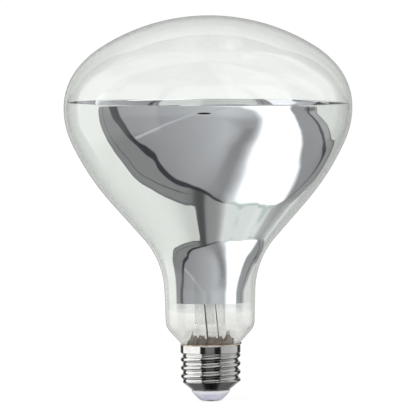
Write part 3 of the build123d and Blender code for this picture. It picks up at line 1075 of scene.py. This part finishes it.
@dataclass
class Studio:
    """Floor, lamps and camera."""

    distance: float = 2500.0
    eye_height: float = 200.0
    aim: Place = (-0.44, 0.0, 83.8)
    pixels: float = 416.0
    pixels_per_mm: float = 2.308
    sensor: float = 36.0
    roll: float = -0.6
    floor_size: float = 40.0
    lamps_aim: Place = (0.0, 0.0, 0.06)
    lamps: tuple[tuple[str, Place, float, float], ...] = (
        ("key_lamp", (-0.9, -0.9, 1.3), 0.9, 9.0),
        ("fill_lamp", (1.1, -0.6, 0.9), 0.8, 4.0),
    )

    def make_floor(self) -> None:
        """Lays the floor that the lamp's contact stands on."""
        bm = bmesh.new()
        bmesh.ops.create_grid(bm, x_segments=4, y_segments=4, size=self.floor_size)
        floor = put("floor", bpy.data.meshes.new("floor"))
        bm.to_mesh(floor.data)
        bm.free()
        floor.visible_glossy = False
        floor.visible_transmission = False
        dress(floor, Paper("floor_paper").make())

    def make_camera(self) -> None:
        """Sets the camera as far off and as high as the photograph's."""
        data = bpy.data.cameras.new("camera")
        camera = put("camera", data)
        camera.location = Vector((0.0, -self.distance, self.eye_height)) * MM
        way = Vector(self.aim) * MM - camera.location
        camera.rotation_euler = way.to_track_quat("-Z", "Y").to_euler()
        camera.rotation_euler.rotate_axis("Z", radians(self.roll))
        data.sensor_width = self.sensor
        data.lens = self.pixels_per_mm * way.length / MM / self.pixels * self.sensor
        data.clip_start, data.clip_end = 0.05, 100.0
        bpy.context.scene.camera = camera

    def make_lamps(self) -> None:
        """Hangs two soft lamps, which only bare surfaces and the floor see."""
        for name, place, size, power in self.lamps:
            data = bpy.data.lights.new(name, "AREA")
            data.size = size
            data.energy = power
            lamp = put(name, data)
            lamp.location = place
            way = Vector(self.lamps_aim) - Vector(place)
            lamp.rotation_euler = way.to_track_quat("-Z", "Y").to_euler()
            lamp.visible_glossy = False
            lamp.visible_transmission = False


# ---------------------------------------------------------------- surroundings


@dataclass(frozen=True)
class Sight:
    """Sockets of a direction's angles, in degrees.

    Turn is measured round the axis from the camera to the right, and tilt up from straight
    down. Across, to the right, and ahead, to the camera, lay the same angles out flat round
    straight down.
    """

    turn: Socket
    tilt: Socket
    across: Socket
    ahead: Socket


@dataclass(frozen=True)
class Stripe:
    """A stripe along an edge of the mirrored room.

    Its middle lies past the edge by a distance, its width is counted from there, and it
    fades across the room by pairs of places.
    """

    past: float
    width: float
    strength: float
    colour: Colour
    fades: Points = ()

    def draw(
        self,
        sheet: Sheet,
        room: Socket,
        distance: Socket,
        across: Socket,
        weight: object = 1.0,
    ) -> Socket:
        """Draws the stripe over the room.

        Args:
            sheet: The world's nodes.
            room: Colour of the room so far.
            distance: Distance past the edge.
            across: Place to the right.
            weight: One more factor of its strength.

        Returns:
            The colour's socket.
        """
        share = sheet.times(sheet.line(sheet.minus(distance, self.past), self.width), self.strength, weight)
        for low, high in self.fades:
            share = sheet.times(share, sheet.fade(across, low, high))
        return sheet.blend(share, room, self.colour)


@dataclass(frozen=True)
class MirroredRoom:
    """What the silvering reflects: a dark front with a bright panel, and a pale backdrop.

    Two edges run across the room, the near one the front's and the far one the backdrop's,
    with a strip of floor between them.
    """

    near_edge: Points = (
        (-92.0, 12.5), (-80.0, 15.5), (-69.5, 18.0), (-55.0, 16.0), (-47.0, 14.8), (-41.0, 16.0), (-36.0, 17.4),
        (-32.0, 14.6), (-23.0, 13.4), (-12.0, 14.8), (-2.0, 13.0), (3.0, 9.6), (10.0, 4.9), (14.0, 2.7),
        (19.0, -1.4), (25.0, -6.9), (29.0, -12.8), (33.0, -23.8), (35.5, -34.0), (38.5, -41.5), (43.0, -48.5),
        (52.0, -39.5), (61.0, -30.5), (70.0, -21.0), (79.0, -8.5), (85.0, 3.4),
    )  # fmt: skip
    far_edge: Points = (
        (-89.0, -13.6), (-78.0, -12.7), (-67.0, -12.6), (-54.0, -14.2), (-48.0, -12.0), (-43.0, -11.2),
        (-32.0, -4.2), (-21.0, 0.4), (-15.0, 1.6), (-9.5, 3.4), (-7.5, 2.0), (-5.0, -1.0), (12.0, -12.0),
        (25.0, -34.0), (36.0, -61.0), (52.0, -48.0), (66.0, -36.0), (84.0, -12.7),
    )  # fmt: skip
    panel_edge: Points = (
        (10.0, -40.0), (33.0, -34.0), (46.0, -23.0), (50.0, -15.5), (54.0, -9.5), (66.0, 5.5), (76.0, 20.0),
        (84.0, 33.0),
    )  # fmt: skip
    panel_side: Points = (
        (-60.0, 8.0), (-10.0, 11.5), (5.0, 13.5), (15.0, 19.5), (25.0, 26.0), (30.0, 30.5), (44.0, 43.5),
        (60.0, 53.5), (70.0, 52.0), (80.0, 45.0), (96.0, 35.0),
    )  # fmt: skip
    beside_panel: Points = (
        (-36.0, 1.0), (-27.0, 0.90), (-20.0, 0.72), (-14.5, 0.58), (-10.0, 0.60), (-6.0, 0.80), (-4.0, 0.92),
        (-2.0, 1.15), (0.0, 1.42), (2.0, 1.85), (5.0, 2.5), (9.0, 2.8),
    )  # fmt: skip
    front: Points = (
        (-180.0, 0.36), (-90.0, 0.31), (-65.0, 0.335), (-25.0, 0.425), (-12.0, 0.455), (0.0, 0.50), (8.0, 0.54),
        (17.0, 0.58), (25.0, 0.56), (36.0, 0.52), (55.0, 0.52), (180.0, 0.52),
    )  # fmt: skip
    floor: Points = (
        (-95.0, 0.34), (-75.0, 0.27), (-35.0, 0.28), (-20.0, 0.28), (-13.0, 0.24), (-9.0, 0.13), (-6.0, 0.10),
        (-3.8, 0.12), (-2.0, 0.27), (0.0, 0.32), (4.5, 0.35), (7.5, 0.46), (9.5, 0.62), (12.0, 0.88),
        (16.0, 1.0), (31.0, 1.0), (33.5, 0.6), (36.0, 0.38), (60.0, 0.42), (90.0, 0.44),
    )  # fmt: skip
    backdrop: Points = (
        (-95.0, 1.0), (-40.0, 0.98), (-24.0, 0.95), (-12.0, 0.78), (25.0, 0.8), (60.0, 0.85), (90.0, 0.86),
    )  # fmt: skip
    line_width: Points = (
        (-95.0, 9.6), (-85.0, 8.2), (-70.0, 5.4), (-55.0, 4.2), (-41.0, 3.6), (-30.0, 2.8), (-10.0, 1.6),
        (3.0, 1.2), (8.0, 0.9), (14.0, 0.35), (32.0, 0.35), (40.0, 1.6), (60.0, 2.2), (90.0, 2.4),
    )  # fmt: skip
    line_depth: Points = (
        (-95.0, 0.96), (-15.0, 0.9), (5.0, 0.85), (9.0, 0.55), (13.0, 0.0), (33.0, 0.0), (36.0, 0.8),
        (90.0, 0.85),
    )  # fmt: skip
    cable: Points = (
        (-87.0, 52.7), (-56.0, 61.0), (-34.0, 72.0), (-15.0, 82.8), (-7.0, 86.6), (2.0, 88.5), (14.5, 95.7),
    )  # fmt: skip
    front_tint: Colour = (1.0, 0.998, 1.06)
    floor_tint: Colour = (1.0, 1.01, 1.03)
    backdrop_tint: Colour = (1.0, 1.012, 0.995)
    backdrop_foot: float = 0.9
    backdrop_lift: float = 0.1
    backdrop_fade: Span = (12.0, -15.0)
    edge_fade: Span = (0.3, -0.3)
    line_colour: Colour = (0.035, 0.035, 0.045)
    seam: Stripe = Stripe(7.5, 0.6, 0.9, (0.12, 0.125, 0.135), ((-10.0, -20.0),))
    far_line: Stripe = Stripe(0.8, 0.9, 0.6, (0.15, 0.155, 0.165))
    patches: Stripe = Stripe(0.0, 3.2, 0.6, (0.78, 0.84, 0.83), ((11.0, 14.0), (34.0, 31.0)))
    foot: Stripe = Stripe(0.5, 0.9, 1.0, (0.64, 0.70, 0.69), ((10.0, 12.5), (36.0, 34.0)))
    streak: Stripe = Stripe(-1.4, 0.8, 0.25, (0.22, 0.22, 0.24), ((-38.0, -60.0),))
    hook: Stripe = Stripe(88.5, 2.6, 0.7, (0.10, 0.10, 0.11))
    hook_length: float = 12.0
    patch_scale: float = 6.0
    patch_fade: Span = (0.3, 0.7)
    top_light: float = 0.76
    top_fade: Span = (52.0, 68.0)
    crown_light: float = 0.42
    crown_fade: Span = (70.0, 88.0)
    beyond_panel: float = 0.355
    panel_fade: Span = (2.5, -4.5)
    panel_start: Span = (33.0, 37.0)
    foot_light: float = 0.13
    foot_fade: Span = (15.0, 4.0)
    cable_light: float = 0.62
    cable_width: float = 1.7
    cable_core: float = -0.16
    core_width: float = 0.5
    cable_ends: Points = ((16.0, 12.0), (-88.0, -70.0))
    lens_turn: float = -3.0
    lens_tilt: float = 85.5
    lens_slimness: float = 0.24
    lens_fade: Span = (1.2, 2.2)

    def draw(self, sheet: Sheet, way: Socket) -> Socket:
        """Draws the room.

        Args:
            sheet: The world's nodes.
            way: The ray's direction, of length 1.

        Returns:
            The colour's socket.
        """
        sight = self.look(sheet, way)
        past_near = sheet.minus(sight.ahead, sheet.curve(sight.across, self.near_edge))
        past_far = sheet.minus(sight.ahead, sheet.curve(sight.across, self.far_edge))
        room = sheet.grey(self.front_light(sheet, sight), self.front_tint)
        strip = sheet.grey(sheet.curve(sight.across, self.floor, 0.0, 1.0), self.floor_tint)
        room = sheet.blend(sheet.fade(past_near, *self.edge_fade), room, strip)
        room = self.seam.draw(sheet, room, past_far, sight.across)
        pale = sheet.fade(sight.ahead, *self.backdrop_fade)
        pale = sheet.maths("MULTIPLY_ADD", pale, self.backdrop_lift, self.backdrop_foot)
        pale = sheet.times(pale, sheet.curve(sight.across, self.backdrop, 0.0, 1.0))
        room = sheet.blend(sheet.fade(past_far, *self.edge_fade), room, sheet.grey(pale, self.backdrop_tint))
        room = self.far_line.draw(sheet, room, past_far, sight.across)
        widths = sheet.maths("DIVIDE", past_near, sheet.curve(sight.across, self.line_width, 0.0, 10.0))
        depth = sheet.times(sheet.line(widths, 1.0), sheet.curve(sight.across, self.line_depth, 0.0, 1.0))
        room = sheet.blend(depth, room, self.line_colour)
        uneven = sheet.fade(sheet.noise(way, self.patch_scale, 0.0), *self.patch_fade)
        room = self.patches.draw(sheet, room, past_near, sight.across, uneven)
        room = self.foot.draw(sheet, room, past_near, sight.across)
        room = self.streak.draw(sheet, room, past_near, sight.across)
        short = sheet.line(sight.ahead, self.hook_length)
        return self.hook.draw(sheet, room, sight.across, sight.across, short)

    @staticmethod
    def look(sheet: Sheet, way: Socket) -> Sight:
        """Returns the angles of a direction of length 1."""
        right, front = sheet.along(way, (1.0, 0.0, 0.0)), sheet.along(way, (0.0, -1.0, 0.0))
        down = sheet.along(way, (0.0, 0.0, -1.0))
        turn = sheet.times(sheet.maths("ARCTAN2", right, front), degrees(1.0))
        tilt = sheet.times(sheet.maths("ARCCOSINE", down), degrees(1.0))
        level = sheet.maths("SQRT", sheet.minus(1.00001, sheet.times(down, down)))
        spread = sheet.maths("DIVIDE", tilt, level)
        return Sight(turn, tilt, sheet.times(right, spread), sheet.times(front, spread))

    def front_light(self, sheet: Sheet, sight: Sight) -> Socket:
        """Returns the brightness of the front with its panel, foot, cable and lens."""
        turn, tilt, across = sight.turn, sight.tilt, sight.across
        inside = sheet.minus(across, sheet.curve(sight.ahead, self.panel_side))
        share = sheet.curve(inside, self.beside_panel, 0.0, 3.0)
        crown = sheet.fade(tilt, *self.crown_fade)
        top = sheet.maths("MULTIPLY_ADD", crown, self.crown_light, self.top_light)
        top = sheet.times(sheet.fade(tilt, *self.top_fade), top)
        light = sheet.times(sheet.curve(turn, self.front, 0.0, 2.0, 180.0), sheet.maths("MAXIMUM", share, top))
        past = sheet.minus(sight.ahead, sheet.curve(across, self.panel_edge))
        past = sheet.times(sheet.fade(past, *self.panel_fade), sheet.fade(across, *self.panel_start))
        light = sheet.toward(light, self.beyond_panel, past)
        light = sheet.toward(light, self.foot_light, sheet.fade(tilt, *self.foot_fade))
        off = sheet.minus(tilt, sheet.curve(turn, self.cable, 0.0, 100.0))
        ends = (sheet.fade(turn, *end) for end in self.cable_ends)
        cable = sheet.times(sheet.line(off, self.cable_width), *ends)
        core = sheet.line(off, self.core_width)
        glow = sheet.maths("MULTIPLY_ADD", core, self.cable_core, self.cable_light)
        light = sheet.toward(light, glow, cable)
        side = sheet.times(sheet.minus(turn, self.lens_turn), self.lens_slimness)
        rise = sheet.minus(tilt, self.lens_tilt)
        lens = sheet.maths("ADD", sheet.times(side, side), sheet.times(rise, rise))
        return sheet.times(light, sheet.fade(lens, *self.lens_fade))


@dataclass(frozen=True)
class CapRoom:
    """What bare metal and the outside of the glass reflect: two panels and a dark front.

    Brightness is given by the angle round the axis, from the camera to the right, at eye
    level, above and below. Straight down it is darker, and a bright strip hangs in front.
    """

    level: Points = (
        (-180.0, 0.45), (-160.0, 0.38), (-149.0, 0.04), (-132.0, 0.03), (-125.0, 1.22), (-44.0, 1.22),
        (-38.0, 0.02), (-25.0, 0.015), (-14.0, 0.19), (10.0, 0.19), (20.0, 0.015), (37.0, 0.015), (43.0, 0.44),
        (80.0, 0.52), (118.0, 0.60), (126.0, 0.3), (133.0, 0.03), (149.0, 0.04), (160.0, 0.38), (180.0, 0.45),
    )  # fmt: skip
    above: Points = (
        (-180.0, 0.65), (-120.0, 0.6), (-75.0, 0.06), (-30.0, 0.03), (30.0, 0.03), (75.0, 0.05), (120.0, 0.5),
        (180.0, 0.65),
    )  # fmt: skip
    below: Points = (
        (-180.0, 0.05), (-162.0, 0.13), (-138.0, 0.13), (-115.0, 0.22), (-80.0, 0.12), (-25.0, 0.01),
        (30.0, 0.01), (80.0, 0.10), (115.0, 0.20), (138.0, 0.12), (162.0, 0.12), (180.0, 0.05),
    )  # fmt: skip
    brightest: float = 1.2
    above_fade: Span = (32.0, 48.0)
    below_fade: Span = (-20.0, -36.0)
    depth_shade: float = -0.9
    depth_fade: Span = (-62.0, -70.0)
    strip_light: float = 0.85
    strip_rise: float = 30.0
    strip_fade: Span = (15.0, 11.0)
    strip_ends: Span = (40.0, 30.0)

    def draw(self, sheet: Sheet, way: Socket) -> Socket:
        """Draws the room.

        Args:
            sheet: The world's nodes.
            way: The ray's direction, of length 1.

        Returns:
            The colour's socket.
        """
        right, front = sheet.along(way, (1.0, 0.0, 0.0)), sheet.along(way, (0.0, -1.0, 0.0))
        turn = sheet.times(sheet.maths("ARCTAN2", right, front), degrees(1.0))
        rise = sheet.times(sheet.maths("ARCSINE", sheet.along(way, UP)), degrees(1.0))
        rings = (self.level, self.above, self.below)
        light, over, under = (sheet.curve(turn, ring, 0.0, self.brightest, 180.0) for ring in rings)
        light = sheet.toward(light, over, sheet.fade(rise, *self.above_fade))
        light = sheet.toward(light, under, sheet.fade(rise, *self.below_fade))
        shade = sheet.maths("MULTIPLY_ADD", sheet.fade(rise, *self.depth_fade), self.depth_shade, 1.0)
        light = sheet.times(light, shade)
        off = sheet.maths("ABSOLUTE", sheet.minus(rise, self.strip_rise))
        strip = sheet.times(
            sheet.fade(off, *self.strip_fade), sheet.fade(sheet.maths("ABSOLUTE", turn), *self.strip_ends)
        )
        return sheet.grey(sheet.toward(light, self.strip_light, strip))


@dataclass(frozen=True)
class Surroundings:
    """The world: white to the eye and through clear glass, a studio in reflections."""

    waviness: float = 0.03
    ripple: float = 7.0
    day: Colour = (0.8, 0.8, 0.8)

    def make(self) -> bpy.types.World:
        """Returns the world."""
        world = bpy.data.worlds.new("surroundings")
        world.use_nodes = True
        sheet = Sheet(world.node_tree)
        sheet.tree.nodes.clear()
        rays = sheet.node("LightPath")
        bounced, mirrored, inside = (
            sheet.maths("GREATER_THAN", rays.outputs[f"{kind} Depth"], 0.5)
            for kind in ("Diffuse", "Glossy", "Transmission")
        )
        plain = sheet.node("TexCoord").outputs["Generated"]
        silvered = MirroredRoom().draw(sheet, self.wavy(sheet, plain))
        seen = sheet.blend(inside, CapRoom().draw(sheet, plain), silvered)
        colour = sheet.blend(mirrored, (1.0, 1.0, 1.0), seen)
        shade = sheet.node("Background", {"Color": sheet.blend(bounced, colour, self.day)})
        sheet.node("OutputWorld", {"Surface": shade.outputs[0]})
        return world

    def wavy(self, sheet: Sheet, way: Socket) -> Socket:
        """Returns a direction made slightly uneven, as blown glass makes reflections."""
        ripple = sheet.node("TexNoise", {"Vector": way, "Scale": self.ripple, "Detail": 3.0})
        inputs = {0: ripple.outputs["Color"], 1: (self.waviness,) * 3, 2: (-self.waviness / 2,) * 3}
        shift = sheet.node("VectorMath", inputs, operation="MULTIPLY_ADD")
        total = sheet.node("VectorMath", {0: way, 1: shift.outputs[0]}, operation="ADD")
        return sheet.node("VectorMath", {0: total.outputs[0]}, operation="NORMALIZE").outputs[0]


# ---------------------------------------------------------------- the whole


def dress_nodes(finish: Finish, *names: str) -> None:
    """Gives nodes of the part that stay in view a finish."""
    material = finish.make()
    for name in names:
        dress_node(name, material)


def make_lamp() -> None:
    """Builds and dresses every piece of the lamp."""
    bulb, stem, cap = Bulb(), Stem(), ScrewCap()
    dress(bulb.make_envelope(), Glass("clear_bulb_glass", smoke=(0.875, 0.873, 0.857)).make())
    dress(bulb.make_mirror(), Silvering("silvered_film").make())
    stem_glass = Glass(
        "stem_glass", (0.955, 0.96, 0.95), (0.955, 0.955, 0.94), density=14.0, ior=1.24, faintness=0.9
    ).make()
    for piece in (stem.make_stem(), stem.make_exhaust(), stem.make_arbor()):
        dress(piece, stem_glass)
    coil = Metal("tungsten", (0.34, 0.34, 0.35), (0.2, 0.2, 0.2), 0.35, 0.1, 2000.0)
    dress(Filament().make_coil(), coil.make())
    plate = Metal("nickel_plate", (0.80, 0.80, 0.785), (0.55, 0.55, 0.54), 0.10, 0.06, 160.0)
    dress(cap.make_shell(), plate.make())
    dress(cap.make_insulator(), Opal("lavender_opal").make())
    dress(cap.make_contact(), Metal("tinned_brass", (0.62, 0.58, 0.5), (0.3, 0.27, 0.2)).make())
    solder = Metal("dull_solder", (0.16, 0.16, 0.16), (0.05, 0.05, 0.05), 0.45, 0.2, 900.0)
    dress(cap.make_solder(), solder.make())
    dress(Cement().make(), Baked("baked_cement").make())
    lead = Metal("oxidised_lead", (0.20, 0.19, 0.17), (0.06, 0.055, 0.05), 0.45, 0.2, 1500.0)
    nickel = Metal("drawn_nickel", (0.60, 0.59, 0.57), (0.35, 0.34, 0.33), 0.25, 0.1, 1500.0)
    copper = Metal("copper_clad", (0.60, 0.28, 0.17), (0.3, 0.1, 0.07), 0.35, 0.1, 1500.0)
    hooks = Metal("drawn_molybdenum", (0.48, 0.48, 0.49), (0.3, 0.3, 0.3), 0.3, 0.1, 1500.0)
    dress_nodes(lead, "outer_lead_centre", "outer_lead_side")
    dress_nodes(nickel, "inner_lead_left", "inner_lead_right")
    dress_nodes(copper, "seal_wire_left", "seal_wire_right")
    dress_nodes(hooks, *(f"support_wire_{index}" for index in range(1, 6)))
    dress_nodes(solder, "solder_side")


def main() -> None:
    """Builds the lamp and sets the studio round it."""
    logging.basicConfig(level=logging.INFO)
    make_lamp()
    studio = Studio()
    studio.make_floor()
    studio.make_camera()
    studio.make_lamps()
    bpy.context.scene.world = Surroundings().make()
    bpy.context.scene.view_settings.view_transform = "Standard"


if __name__ == "__main__":
    main()
